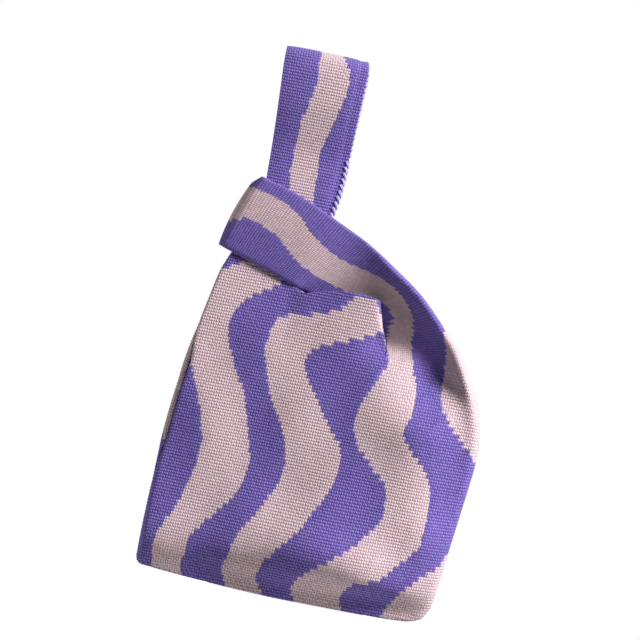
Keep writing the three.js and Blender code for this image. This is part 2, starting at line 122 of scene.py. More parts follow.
# Pink stripes of the panels, of the back panel's margin, and of the two handles, as plan outlines
PINK_PANEL = [
    [(-62, -149), (-39.5, -148), (-28.5, -141), (-18.5, -136), (0, -138), (0.5, -148), (-10.5, -156),
     (-20.5, -164), (-26.5, -176), (-26.5, -186), (-20.5, -201), (-10.5, -218), (-3.5, -236), (1.5, -253),
     (4.5, -261), (3.5, -274), (1.5, -283), (-8.5, -298), (-16.5, -308), (-22.5, -318), (-24.5, -331),
     (-25.5, -341), (-22, -346), (-22, -360), (-43, -360), (-43.5, -344), (-45.5, -329), (-43.5, -318),
     (-36.5, -303), (-31.5, -286), (-28.5, -271), (-28.5, -256), (-32.5, -241), (-40.5, -221),
     (-47.5, -209), (-62, -206)],
    [(84, -156), (66.7, -152.4), (63.7, -148.9), (58.7, -147.4), (50.2, -148), (46.4, -149.4),
     (44.5, -154), (34.5, -160), (14.5, -166), (4.5, -169), (0.5, -178), (-0.5, -194), (4.5, -208),
     (9.5, -221), (17.5, -234), (24.5, -249), (26.5, -261), (25.5, -274), (19.5, -286), (11.5, -301),
     (6.5, -311), (3.5, -323), (1.5, -336), (3.5, -342), (7, -348), (7, -360), (31, -360), (30.5, -347),
     (27.5, -343), (23.5, -336), (26.5, -323), (32.5, -314), (42.5, -301), (49.5, -288), (57.5, -273),
     (60.5, -261), (60.5, -248), (57.5, -240), (49.5, -232), (39.5, -218), (29.5, -204), (25.5, -193),
     (29.5, -186), (34.5, -182), (49.5, -176), (59.5, -171), (69.5, -166), (72.6, -165.5)],
    [(90.5, -168), (91.3, -173.8), (95.3, -186), (98.6, -194.2), (99.6, -204), (99, -214), (96.5, -226),
     (102.5, -234), (114.5, -246), (119.5, -254), (121.5, -266), (121.5, -286), (120.5, -294),
     (109.5, -308), (99.5, -319), (87.5, -324), (81.5, -329), (78.5, -339), (82, -346), (82, -360),
     (52, -360), (51.5, -347), (47.5, -341), (48.5, -331), (54.5, -324), (64.5, -315), (77.5, -303),
     (89.5, -289), (93.5, -281), (93.5, -264), (87.5, -256), (79.5, -249), (69.5, -239), (65.5, -229),
     (65.5, -217), (67.3, -209), (72.2, -200.6), (75, -192), (77.2, -187), (78, -182), (75.3, -174.7),
     (73.2, -169.7), (82, -162)],
    [(106, -148), (108, -154.3), (108.5, -160.2), (111.5, -166.3), (114.2, -175.8), (115, -186),
     (114.8, -192.5), (118.6, -206), (129.5, -219), (139.5, -228), (147.5, -236), (165, -240), (165, -148)],
    [(141.5, -298), (132.5, -308), (121.5, -318), (114.5, -328), (109.5, -338), (107.5, -345),
     (107, -360), (170, -360), (170, -296)],
]
BACK_MARGIN_PINK = [
    (-90, -150), (-30, -150), (-36, -186), (-44, -215), (-50, -230), (-56, -246), (-60, -256),
    (-63, -262), (-65.5, -267.5), (-68, -272), (-90, -272),
]
PINK_STRAP = [
    [(-50, -91), (-30.5, -92), (-15.5, -95), (-0.5, -101), (9.5, -110), (19.5, -118), (34.5, -125),
     (54.5, -130), (69.5, -135), (81.5, -144), (88.5, -156), (90.5, -168), (91.3, -173.8), (95.3, -186),
     (78, -186), (78, -182), (75.3, -174.7), (73.4, -169.7), (74.8, -160), (74.5, -154), (70, -149),
     (59.5, -145.5), (39.5, -144), (19.5, -138), (4.5, -130), (-5.5, -121), (-15.5, -116), (-30.5, -112),
     (-41.5, -116), (-56, -117)],
    [(106, -148), (108, -154.3), (108.5, -160.2), (111.5, -166.3), (114.2, -175.8), (115, -186),
     (150, -186), (150, -148)],
]
PINK_HANDLE = [
    [(-4.5, 12), (-4.5, -6), (-3.5, -16), (-5.5, -31), (-8.5, -46), (-9, -66), (-8.5, -81), (-6, -92),
     (-4, -120), (13, -120), (9.5, -91), (8.5, -76), (7.5, -61), (9.5, -53), (13.5, -34), (16.5, -21),
     (15.5, -8), (9.5, 2), (8, 12)],
]


def smooth_line(points, spacing=1.5):
    """Smooth curve through points, as a row of close points."""
    points = np.asarray(points, float)
    chords = np.linalg.norm(np.diff(points, axis=0), axis=1)
    knots = np.concatenate([[0], np.cumsum(np.sqrt(chords))])
    slopes = np.gradient(points, knots, axis=0)
    rows = []
    for k, chord in enumerate(chords):
        t = np.linspace(0, 1, max(2, int(chord / spacing)), endpoint=False)[:, None]
        span = knots[k + 1] - knots[k]
        rows.append((1 + 2 * t) * (1 - t) ** 2 * points[k] + t * (1 - t) ** 2 * span * slopes[k]
                    + t ** 2 * (3 - 2 * t) * points[k + 1] + t ** 2 * (t - 1) * span * slopes[k + 1])
    rows.append(points[-1:])
    return np.concatenate(rows)


def smooth_value(stations):
    """Smooth function of one value through (place, value) pairs in rising order of place."""
    line = smooth_line(stations, 0.5)
    return lambda place: np.interp(place, line[:, 0], line[:, 1])


def ease(value, low, high):
    """0 at low to 1 at high, level at both ends; low may be the greater."""
    t = np.clip((value - low) / (high - low), 0, 1)
    return t * t * (3 - 2 * t)


def along(line, shares):
    """Points at shares of a line's length."""
    run = np.concatenate([[0], np.cumsum(np.linalg.norm(np.diff(line, axis=0), axis=1))])
    return np.stack([np.interp(shares * run[-1], run, line[:, k]) for k in range(line.shape[1])], axis=1)


def unit(rows):
    """Each row at length 1."""
    return rows / np.maximum(np.linalg.norm(rows, axis=1), 1e-9)[:, None]


def inside(outline, points):
    """Which plan points lie inside a closed outline."""
    outline = np.asarray(outline, float)
    x, z = points[:, 0], points[:, 1]
    found = np.zeros(len(points), bool)
    for (x0, z0), (x1, z1) in zip(outline, np.roll(outline, -1, axis=0)):
        if z0 != z1:
            crosses = (z0 > z) != (z1 > z)
            found ^= crosses & (x < x0 + (z - z0) * (x1 - x0) / (z1 - z0))
    return found


BATCH = 4000


def nearest_on(starts, ends, points):
    """For each plan point: number of the nearest of many short lines, and the nearest place on it."""
    runs = ends - starts
    squares = np.maximum((runs ** 2).sum(1), 1e-9)
    picked = np.zeros(len(points), int)
    foot = np.zeros_like(points)
    for first in range(0, len(points), BATCH):
        part = points[first:first + BATCH]
        share = np.clip(((part[:, None] - starts) * runs).sum(2) / squares, 0, 1)
        feet = starts + share[:, :, None] * runs
        best = ((part[:, None] - feet) ** 2).sum(2).argmin(1)
        picked[first:first + BATCH] = best
        foot[first:first + BATCH] = feet[np.arange(len(part)), best]
    return picked, foot


# Depths beyond this are all taken as this deep
STRIPE_LIMIT = 6.0


def stripe_depth(stripes, points):
    """How far inside a pink stripe each plan point lies, in millimetres, less than 0 outside them all,
    and the plan direction in which that depth grows."""
    deepest = np.full(len(points), -STRIPE_LIMIT)
    growing = np.zeros_like(points)
    for outline in stripes:
        line = smooth_line(np.concatenate([outline, outline[:1]]), 4)
        unused, foot = nearest_on(line[:-1], line[1:], points)
        side = np.where(inside(line, points), 1, -1)
        away = (points - foot) * side[:, None]
        apart = np.linalg.norm(away, axis=1)
        deeper = apart * side > deepest
        deepest = np.where(deeper, apart * side, deepest)
        growing[deeper] = (away / np.maximum(apart, 1e-6)[:, None])[deeper]
    return np.minimum(deepest, STRIPE_LIMIT), growing


# By height: x of the body's sides, height of its outer face over the middle plane at each of them, and the
# swell between them, which is spread by the share of the width. The rolled edges come on top of these.
left_of = smooth_value([(-350, -52), (-260, -51), (-206, -47.2), (-182, -46), (-166, -43.6), (-100, -24)])
right_of = smooth_value([(-350, 138), (-304, 141), (-236, 147), (-201, 141), (-181, 132), (-100, 132)])
left_height = smooth_value([
    (-350, 2), (-344, 2.2), (-337, 5.2), (-329, 9.8), (-321, 12.2), (-308, 11.8), (-290, 9.6),
    (-270, 7.6), (-250, 7), (-215, 6.8), (-181, 6.2), (-150, 3.6), (-100, 3),
])
right_height = smooth_value([
    (-350, 2), (-344, 2.2), (-336, 4.4), (-328, 6.6), (-318, 7.2), (-250, 6.4), (-200, 5.4), (-181, 5),
    (-150, 3.4), (-100, 3),
])
swell = smooth_value([
    (-350, 0), (-345, 0.2), (-338, 2.2), (-330, 7.4), (-322, 11.8), (-312, 13.8), (-300, 13.8),
    (-285, 12.6), (-270, 11.4), (-240, 10.8), (-215, 10.4), (-181, 8.4), (-160, 5), (-140, 1.4), (-100, 0),
])
swell_across = smooth_value([
    (0, 0), (0.05, 0.05), (0.12, 0.11), (0.25, 0.22), (0.4, 0.4), (0.55, 0.68), (0.68, 0.93), (0.76, 1),
    (0.85, 0.86), (0.93, 0.5), (1, 0),
])

# Fold valley that runs up from the right side into the short handle: plan place, depth and half width
VALLEY = smooth_line([(66, -158, 1, 10), (77, -164.5, 5, 11), (87, -168, 6.8, 12), (95, -175, 7.6, 13),
                      (104, -183, 7.8, 14), (113, -189, 7, 13), (128, -197, 4, 10), (140, -210, 0, 7)], 2)
BODY_SIDE = np.array([-0.6, -0.8])
BODY_SIDE_WIDER = 1.9

# Soft swellings and the dent above the bottom seam: plan middle, half width, half height and rise
SWELLINGS = [
    (103, -223, 20, 16, 4.0),
    (122, -288, 17, 17, 5.0),
    (36, -306, 34, 26, 4.0),
    (64, -313, 36, 18, 7.4),
    (-14, -314, 24, 11, 1.4),
    (-32, -232, 14, 26, 1.4),
    (100, -334, 30, 9, -3.6),
]

# Slow waves of the fabric: rise, and the millimetres across and up in which each gains a radian
WAVES = [(0.6, 11, 17), (0.5, -19, 9), (0.4, 7, -23)]
WAVES_FADE_UP = (-150, -200)
WAVES_FADE_DOWN = (-345, -320)


def valley(x, z):
    """How far the fold valley sinks a place; it is wider on the body's side."""
    shape = np.shape(x)
    places = np.stack([np.ravel(x), np.ravel(z)], axis=1)
    apart = ((places[:, None] - VALLEY[:, :2]) ** 2).sum(2)
    nearest = apart.argmin(1)
    body_side = (places - VALLEY[nearest, :2]) @ BODY_SIDE > 0
    half_width = VALLEY[nearest, 3] * np.where(body_side, BODY_SIDE_WIDER, 1)
    gone = np.sqrt(apart[np.arange(len(places)), nearest]) / half_width
    return (VALLEY[nearest, 2] * np.exp(-gone ** 2)).reshape(shape)


def body_height(x, z):
    """The filled-out body, with its swellings and dent, its slow waves and its fold valley."""
    share = np.clip((x - left_of(z)) / (right_of(z) - left_of(z)), 0, 1)
    height = left_height(z) * (1 - share) + right_height(z) * share + swell(z) * swell_across(share)
    for middle_x, middle_z, wide, tall, rise in SWELLINGS:
        height = height + rise * np.exp(-((x - middle_x) / wide) ** 2 - ((z - middle_z) / tall) ** 2)
    waves = sum(rise * np.sin(x / across + z / up) for rise, across, up in WAVES)
    height = height + waves * ease(z, *WAVES_FADE_UP) * ease(z, *WAVES_FADE_DOWN)
    return np.maximum(height - valley(x, z), FABRIC + SEAM_DEPTH)


# Share of the flap's full height that it has reached, from where it leaves the short handle's cover,
# and where it starts from the body, ends to the right and clears the foot of the fold
flap_rise = smooth_value([
    (-60, 0), (5, 0), (9, 0.04), (17.5, 0.28), (30, 0.52), (45, 0.82), (58, 1), (160, 1),
])
FLAP_HEIGHT = 12.8
FLAP_STARTS = (-198, -166)
FLAP_ENDS = (74, 92)
FLAP_CLEARS = (8, 22)


def panel_height(x, z):
    """The body with its neckline flap standing off the short handle behind it."""
    flap = flap_rise(x) * ease(z, *FLAP_STARTS) * (1 - ease(x, *FLAP_ENDS))
    flap = flap * ease(np.hypot(x - PLEAT, z - CUT), *FLAP_CLEARS)
    height = body_height(x, z)
    return height + (FLAP_HEIGHT - height) * flap


# How far the rolled right edge stands up, by height, and how far in from the edge its crest lies
right_rim = smooth_value([
    (-350, 0), (-272, 0), (-252, 1.4), (-236, 2.2), (-218, 3.4), (-203, 5.2), (-181, 7.6), (-150, 8.2),
    (-100, 8.2),
])
RIM_PLACE = 4.6


def rim_shape(inset):
    """A bead along an edge: nothing at the edge, full at its crest, fading further in."""
    share = np.maximum(inset, 0) / RIM_PLACE
    return (share * np.exp(1 - share)) ** 1.5


# How far the back panel reaches past the front panel's left edge, by height,
# the radius in which it wraps round to the front there, and the gap that it leaves to the front panel
back_flange = smooth_value([
    (-350, 0), (-292, 0), (-280, 0.8), (-268, 2.6), (-258, 3.9), (-242, 4.2), (-224, 4.1), (-208, 4.2),
    (-193, 1.5), (-184, 0.2), (-100, 0),
])
WRAP_RADIUS = 3.8
WRAP_GAP = 0.4

# Plan reach of the roll along each edge, for the left edge at the front and at the back panel above the
# height where it widens, and drop of the roll along the edges that hang free
LEFT_REACH = (1.2, 2.4)
LEFT_WIDENS = (-262, -292)
SIDE_REACH = 4.5
BOTTOM_REACH = 5.0
FOLD_REACH, FOLD_DROP = 3.4, 4.4
FOLD_STARTS = (CUT + 8, CUT + 18)
FLAP_CORNER_REACH, FLAP_CORNER_DROP = 2.0, 2.4
FLAP_REACH, FLAP_DROP = 1.1, 1.0
NOTCH_REACH, NOTCH_DROP = 0.8, 0.8

# Points that round the corners: the left one from the left edge's end, the others in plan
LEFT_CORNER = [(0.9, -3.7), (3.2, -5.6)]
RIGHT_CORNER = (133.3, -341)
FLAP_CORNER = (64.8, -146.4)


def edge_stretches(flange):
    """Edges of a panel: points, plan reach of the roll, and its drop at the edge (None: down to the seam).
    flange is 1 for the back panel, which reaches further left, else 0."""
    left = smooth_line(LEFT)
    left = left - flange * np.stack([back_flange(left[:, 1]), 0 * left[:, 1]], axis=1)
    left_reach = LEFT_REACH[flange] + (SIDE_REACH - LEFT_REACH[flange]) * ease(left[:, 1], *LEFT_WIDENS)
    left_corner = [left[-1] + offset for offset in LEFT_CORNER]
    fold_line = smooth_line(FOLD)
    fold_share = ease(fold_line[:, 1], *FOLD_STARTS)
    return [
        (left, left_reach, None),
        (smooth_line([left[-1], *left_corner, BOTTOM[0]]), SIDE_REACH, None),
        (smooth_line(BOTTOM), BOTTOM_REACH, None),
        (smooth_line([BOTTOM[-1], RIGHT_CORNER, RIGHT[0]]), BOTTOM_REACH, None),
        (smooth_line(RIGHT), SIDE_REACH, None),
        (fold_line, FOLD_REACH * fold_share, FOLD_DROP * fold_share),
        (smooth_line([FOLD[-1], FLAP_CORNER, FLAP_TOP[0]]), FLAP_CORNER_REACH, FLAP_CORNER_DROP),
        (smooth_line(FLAP_TOP), FLAP_REACH, FLAP_DROP),
        (smooth_line(NOTCH), NOTCH_REACH, NOTCH_DROP),
    ]


def nearest_edge(stretches, points, height_of):
    """For each plan point: nearest edge point, inward direction there, and the roll's reach and drop."""
    starts, ends, reach, drop = [], [], [], []
    for line, roll_reach, roll_drop in stretches:
        starts.append(line[:-1])
        ends.append(line[1:])
        middle = (line[:-1] + line[1:]) / 2
        reach.append(np.broadcast_to(roll_reach, len(line))[:-1])
        if roll_drop is None:
            drop.append(height_of(middle[:, 0], middle[:, 1]) - SEAM_DEPTH)
        else:
            drop.append(np.broadcast_to(roll_drop, len(line))[:-1])
    starts, ends = np.concatenate(starts), np.concatenate(ends)
    reach, drop = np.concatenate(reach), np.concatenate(drop)
    picked, foot = nearest_on(starts, ends, points)
    direction = unit(ends - starts)[picked]
    inward = np.stack([-direction[:, 1], direction[:, 0]], axis=1)
    return foot, inward, reach[picked], drop[picked]


def quads_of(columns, rows):
    """Faces of a grid whose points run along each row, seen from outside."""
    i, j = np.meshgrid(np.arange(columns - 1), np.arange(rows - 1))
    first = (j * columns + i).ravel()
    return np.stack([first, first + 1, first + columns + 1, first + columns], axis=1)


def band_grid(grid):
    """A band's points, faces and half-step counts, from its rows of points."""
    rows, columns = grid.shape[:2]
    steps_i, steps_j = (part.ravel() for part in np.meshgrid(np.arange(columns), np.arange(rows)))
    return grid.reshape(-1, 3), quads_of(columns, rows), (steps_i, steps_j)


def border_edges(quads):
    """Edges that only one face has, in that face's own direction."""
    edges = np.concatenate([np.stack([quads[:, k], quads[:, (k + 1) % 4]], axis=1) for k in range(4)])
    keys = np.sort(edges, axis=1)
    unused, where, counts = np.unique(keys, axis=0, return_inverse=True, return_counts=True)
    alone = counts[where.ravel()] == 1
    return edges[alone]


def normals_of(points, quads):
    a, b, c, d = (points[quads[:, k]] for k in range(4))
    flat = np.cross(c - a, d - b)
    total = np.zeros_like(points)
    for k in range(4):
        np.add.at(total, quads[:, k], flat)
    return unit(total)


def stitch_relief(i, j):
    """Height of the knit at half steps: stitch middles stand up, gaps between stitches and rows lie low."""
    row = np.floor_divide(j, 2)
    middle = (i - row % 2) % 2 == 1
    return np.where(j % 2 == 0, ROW_GAP, np.where(middle, STITCH_RISE, STITCH_GAP))


def rib_relief(j):
    """Height of the short handle's finer knit, whose rows run unbroken across it."""
    return np.where(j % 2 == 0, STRAP_ROW_GAP, STRAP_ROW_RISE)


def knit_piece(name, points, quads, steps, stripes, material, relief, rows_run=(0, 1)):
    """Closed knitted fabric: outer face with its stitches, inner face, and the cut edges between them.
    steps are each point's half-step counts across and up, stripes is what stripe_depth gives, and rows_run
    the plan direction in which the rows follow each other."""
    pink, growing = stripes
    normals = normals_of(points, quads)
    outer = points + normals * relief[:, None]
    inner = points - normals * FABRIC
    border = border_edges(quads)
    count = len(points)
    rim = np.stack([border[:, 1], border[:, 0], border[:, 0] + count, border[:, 1] + count], axis=1)
    faces = np.concatenate([quads, quads[:, ::-1] + count, rim])
    mesh = bpy.data.meshes.new(name)
    mesh.from_pydata((np.concatenate([outer, inner]) * MM).tolist(), [], faces.tolist())
    stitches = np.stack(steps, axis=1) / 2
    corners = np.empty(len(mesh.loops), np.int32)
    mesh.loops.foreach_get("vertex_index", corners)
    mesh.uv_layers.new(name="stitches").data.foreach_set(
        "uv", np.tile(stitches, (2, 1))[corners].astype(np.float32).ravel())
    depths = np.concatenate([pink, pink]).astype(np.float32)
    mesh.attributes.new("pink", "FLOAT", "POINT").data.foreach_set("value", depths)
    climb = (growing * rows_run).sum(1)
    turns = np.stack([growing[:, 0], climb, 0 * climb], axis=1)
    turns = np.concatenate([turns, turns]).astype(np.float32)
    mesh.attributes.new("stripe_turn", "FLOAT_VECTOR", "POINT").data.foreach_set("vector", turns.ravel())
    mesh.materials.append(material)
    return add_piece(name, mesh, angle=62)


def add_object(name, data):
    made = bpy.data.objects.new(name, data)
    bpy.context.scene.collection.objects.link(made)
    return made


def add_piece(name, mesh, angle):
    """Puts a mesh in the scene, smooth where its faces meet at less than the angle in degrees."""
    piece = add_object(name, mesh)
    bpy.ops.object.select_all(action="DESELECT")
    bpy.context.view_layer.objects.active = piece
    piece.select_set(True)
    bpy.ops.object.shade_smooth_by_angle(angle=math.radians(angle))
    return piece


# Materials


class Wire:
    """One socket of a material's nodes, so that shader maths reads as arithmetic."""

    def __init__(self, tree, socket):
        self.tree = tree
        self.socket = socket

    def node(self, kind, settings, inputs, output=0):
        """Adds a node: its settings first, then its sockets' values or links. Gives one output."""
        made = self.tree.nodes.new(kind)
        for name, value in settings.items():
            setattr(made, name, value)
        for key, value in inputs.items():
            if isinstance(value, Wire):
                self.tree.links.new(value.socket, made.inputs[key])
            else:
                made.inputs[key].default_value = value
        return Wire(self.tree, made.outputs[output])

    def math(self, operation, *others):
        return self.node("ShaderNodeMath", {"operation": operation}, dict(enumerate((self, *others))))

    def __add__(self, other):
        return self.math("ADD", other)

    def __radd__(self, other):
        return self.math("ADD", other)

    def __sub__(self, other):
        return self.math("SUBTRACT", other)

    def __rsub__(self, other):
        return (self * -1.0) + other

    def __mul__(self, other):
        return self.math("MULTIPLY", other)

    def __rmul__(self, other):
        return self.math("MULTIPLY", other)

    def __pow__(self, power):
        return self.math("POWER", power)

    def __abs__(self):
        return self.math("ABSOLUTE")

    def fraction(self):
        return self.math("FRACT")

    def floor(self):
        return self.math("FLOOR")

    def limited(self):
        return self.node("ShaderNodeClamp", {}, {"Value": self})

    def mixed(self, first, second):
        """Colour from first to second by this value."""
        return self.node("ShaderNodeMix", {"data_type": "RGBA"}, {"Factor": self, 6: first, 7: second}, 2)


def srgb(red, green, blue):
    """Display colour of 0 to 255 as the linear colour that a shader takes."""
    parts = [value / 255 for value in (red, green, blue)]
    return tuple([v / 12.92 if v <= 0.04045 else ((v + 0.055) / 1.055) ** 2.4 for v in parts] + [1.0])


def new_material(name, settings):
    """A material whose shader has these fixed values. Gives the material, its shader and a first wire."""
    material = bpy.data.materials.new(name)
    material.use_nodes = True
    shader = material.node_tree.nodes["Principled BSDF"]
    for key, value in settings.items():
        shader.inputs[key].default_value = value
    return material, shader, Wire(material.node_tree, shader.outputs[0])


def set_looks(wire, shader, colour, roughness, height, distance):
    """Links a shader's colour and roughness, and its bump from a height over a distance in metres."""
    wire.tree.links.new(colour.socket, shader.inputs["Base Color"])
    wire.tree.links.new(roughness.socket, shader.inputs["Roughness"])
    bump = wire.node("ShaderNodeBump", {}, {"Strength": 1.0, "Distance": distance, "Height": height})
    wire.tree.links.new(bump.socket, shader.inputs["Normal"])


# Knit tones: the light ones are the yarn on the stitches. The dark ones are painted shade in the gaps
# between stitches and between rows, and random per-stitch tone also mixes between the two.
VIOLET_LIGHT = srgb(139, 121, 199)
VIOLET_DARK = srgb(77, 59, 135)
PINK_LIGHT = srgb(222, 196, 203)
PINK_DARK = srgb(150, 121, 128)
BORDER_DARK = srgb(84, 58, 78)
BORDER_LIGHT = srgb(188, 174, 240)
SLANT = -0.22
STITCH_CHANCE = 0.2
YARN_FUZZ = 0.3
SLOW_SHADE = 0.12

# Edges of the pink stripes: rows in a step, patches to a stitch, how far a patch jogs in millimetres,
# and how sharp, frayed and flecked they are
STEP_ROWS = 2.0
PATCHES = 0.11
JOG = 1.0
EDGE_SHARPNESS = 2.5
EDGE_FRAY = 1.5
FLECKS = 0.9


def jacquard_knit(name, depth, gaps, twill, light, row_height):
    """Two-colour knit: rows of small slanted stitches with painted shade in the gaps between stitches and
    rows, each a little lighter or darker, and pink stripes with stepped edges. depth is how strong the
    painted shade between the rows shows, gaps how strong the painted shade in the gaps along a row does,
    twill how strong the diagonal over every second stitch does, light how light it is in all, and
    row_height the height of its rows in millimetres."""
    material, shader, wire = new_material(name, {"Specular IOR Level": 0.2, "Sheen Weight": 0.06})
    place = wire.node("ShaderNodeUVMap", {"uv_map": "stitches"}, {})
    across = wire.node("ShaderNodeSeparateXYZ", {}, {0: place}, 0)
    upward = wire.node("ShaderNodeSeparateXYZ", {}, {0: place}, 1)
    row = upward.floor()
    stitch = across * 2.0
    x = stitch.fraction() * 2.0 - 1.0
    y = upward.fraction() * 2.0 - 1.0
    off_line = abs(y - x * SLANT)
    diagonal = abs((across + upward * 0.5).fraction() * 2.0 - 1.0)
    # dash and loop darken towards the gaps between stitches and between rows: this darkening is painted
    # shade.
    dash = ((1.0 - off_line ** 1.6 * depth) * (1.0 - abs(x) ** 4.0 * gaps) * light).limited()
    loop = ((1.0 - off_line ** 2.2 * (0.36 * depth) - abs(x) ** 6.0 * (0.6 * gaps)) * light).limited()
    cell = wire.node("ShaderNodeCombineXYZ", {}, {0: stitch.floor(), 1: row})
    chance = wire.node("ShaderNodeTexWhiteNoise", {"noise_dimensions": "2D"}, {"Vector": cell})
    fuzz = wire.node("ShaderNodeTexNoise", {}, {"Vector": place, "Scale": 3.1, "Detail": 3.0})
    cloud = wire.node("ShaderNodeTexNoise", {}, {"Vector": place, "Scale": 0.09, "Detail": 2.0})
    uneven = (chance - 0.5) * STITCH_CHANCE + (fuzz - 0.5) * YARN_FUZZ + (cloud - 0.5) * SLOW_SHADE
    uneven = uneven + (diagonal - 0.5) * twill
    violet = (dash + uneven).limited().mixed(VIOLET_DARK, VIOLET_LIGHT)
    pink = (loop + uneven).limited().mixed(PINK_DARK, PINK_LIGHT)
    inward = wire.node("ShaderNodeAttribute", {"attribute_name": "pink"}, {}, 2)
    turn = wire.node("ShaderNodeAttribute", {"attribute_name": "stripe_turn"}, {}, 1)
    sideways = wire.node("ShaderNodeSeparateXYZ", {}, {0: turn}, 0)
    climb = wire.node("ShaderNodeSeparateXYZ", {}, {0: turn}, 1)
    band = upward * (1 / STEP_ROWS)
    patch = wire.node("ShaderNodeCombineXYZ", {}, {0: (across * PATCHES).floor(), 1: band.floor()})
    jog = wire.node("ShaderNodeTexWhiteNoise", {"noise_dimensions": "2D"}, {"Vector": patch})
    from_middle = (band.fraction() - 0.5) * (STEP_ROWS * row_height)
    stepped = inward - climb * from_middle + (jog - 0.5) * JOG
    stripe = (stepped * EDGE_SHARPNESS + (fuzz - 0.5) * EDGE_FRAY + 0.5).limited()
    colour = stripe.mixed(violet, pink)
    right_edge = (sideways * -2.0).limited()
    shaded = (1.0 - abs(stepped) * 1.5).limited() * right_edge * (chance * 3.0 - 1.2).limited()
    colour = (shaded * FLECKS).mixed(colour, BORDER_DARK)
    left_edge = (sideways * 2.0).limited()
    pale = (1.0 - abs(stepped + 0.35) * 1.6).limited() * left_edge * (chance * 3.0 - 1.4).limited()
    colour = (pale * FLECKS).mixed(colour, BORDER_LIGHT)
    roughness = 0.95 - dash * 0.12
    set_looks(wire, shader, colour, roughness, dash + fuzz * 0.35, 0.0004)
    return material


LINING_DARK = srgb(58, 46, 104)
LINING_LIGHT = srgb(98, 84, 158)


def lining_cloth():
    """Plain fine cotton in a plum tone, with its weave and slow shade."""
    material, shader, wire = new_material("lining_cloth", {"Specular IOR Level": 0.2, "Sheen Weight": 0.1})
    place = wire.node("ShaderNodeTexCoord", {}, {}, 3)
    warp = wire.node("ShaderNodeTexWave", {"bands_direction": "X"}, {"Vector": place, "Scale": 260.0})
    weft = wire.node("ShaderNodeTexWave", {"bands_direction": "Z"}, {"Vector": place, "Scale": 260.0})
    cloud = wire.node("ShaderNodeTexNoise", {}, {"Vector": place, "Scale": 35.0, "Detail": 3.0})
    weave = warp * weft
    colour = (weave * 0.6 + cloud * 0.5).limited().mixed(LINING_DARK, LINING_LIGHT)
    set_looks(wire, shader, colour, 0.95 - weave * 0.1, weave, 0.0002)
    return material


def stitch_yarn(name, dark, light):
    """Loose plied yarn between two tones."""
    material, shader, wire = new_material(name, {"Specular IOR Level": 0.25, "Sheen Weight": 0.2})
    place = wire.node("ShaderNodeTexCoord", {}, {}, 3)
    ply = wire.node("ShaderNodeTexWave", {"bands_direction": "DIAGONAL"},
                    {"Vector": place, "Scale": 420.0, "Distortion": 2.0})
    fuzz = wire.node("ShaderNodeTexNoise", {}, {"Vector": place, "Scale": 900.0, "Detail": 2.0})
    tone = (ply * 0.6 + fuzz * 0.5).limited()
    set_looks(wire, shader, tone.mixed(dark, light), 0.95 - ply * 0.1, ply + fuzz * 0.4, 0.0002)
    return material


KNIT = jacquard_knit("jacquard_knit", 1.0, 1.0, 0.36, 0.96, ROW)
HANDLE_KNIT = jacquard_knit("handle_knit", 0.84, 0.55, 0.4, 0.96, ROW)
STRAP_KNIT = jacquard_knit("strap_knit", 0.75, 0.8, 0.1, 0.78, STRAP_ROW)
LINING = lining_cloth()
SEAM_YARN = stitch_yarn("seam_yarn", srgb(60, 46, 116), srgb(104, 90, 164))
EDGE_YARN = stitch_yarn("edge_yarn", srgb(148, 135, 212), srgb(206, 196, 246))


# Panels

# Limits of the grid that a panel is cut from, and how near to a line a point counts as on it
GRID_LEFT, GRID_RIGHT, GRID_BOTTOM = -84, 152, -358
NEAR = 0.1

# The left edge lies left of an x and above a height, the right edge right of an x and below a height
LEFT_EDGE_X, LEFT_EDGE_FOOT = -40, -338.9
RIGHT_EDGE_X, RIGHT_EDGE_TOP = 100, -150


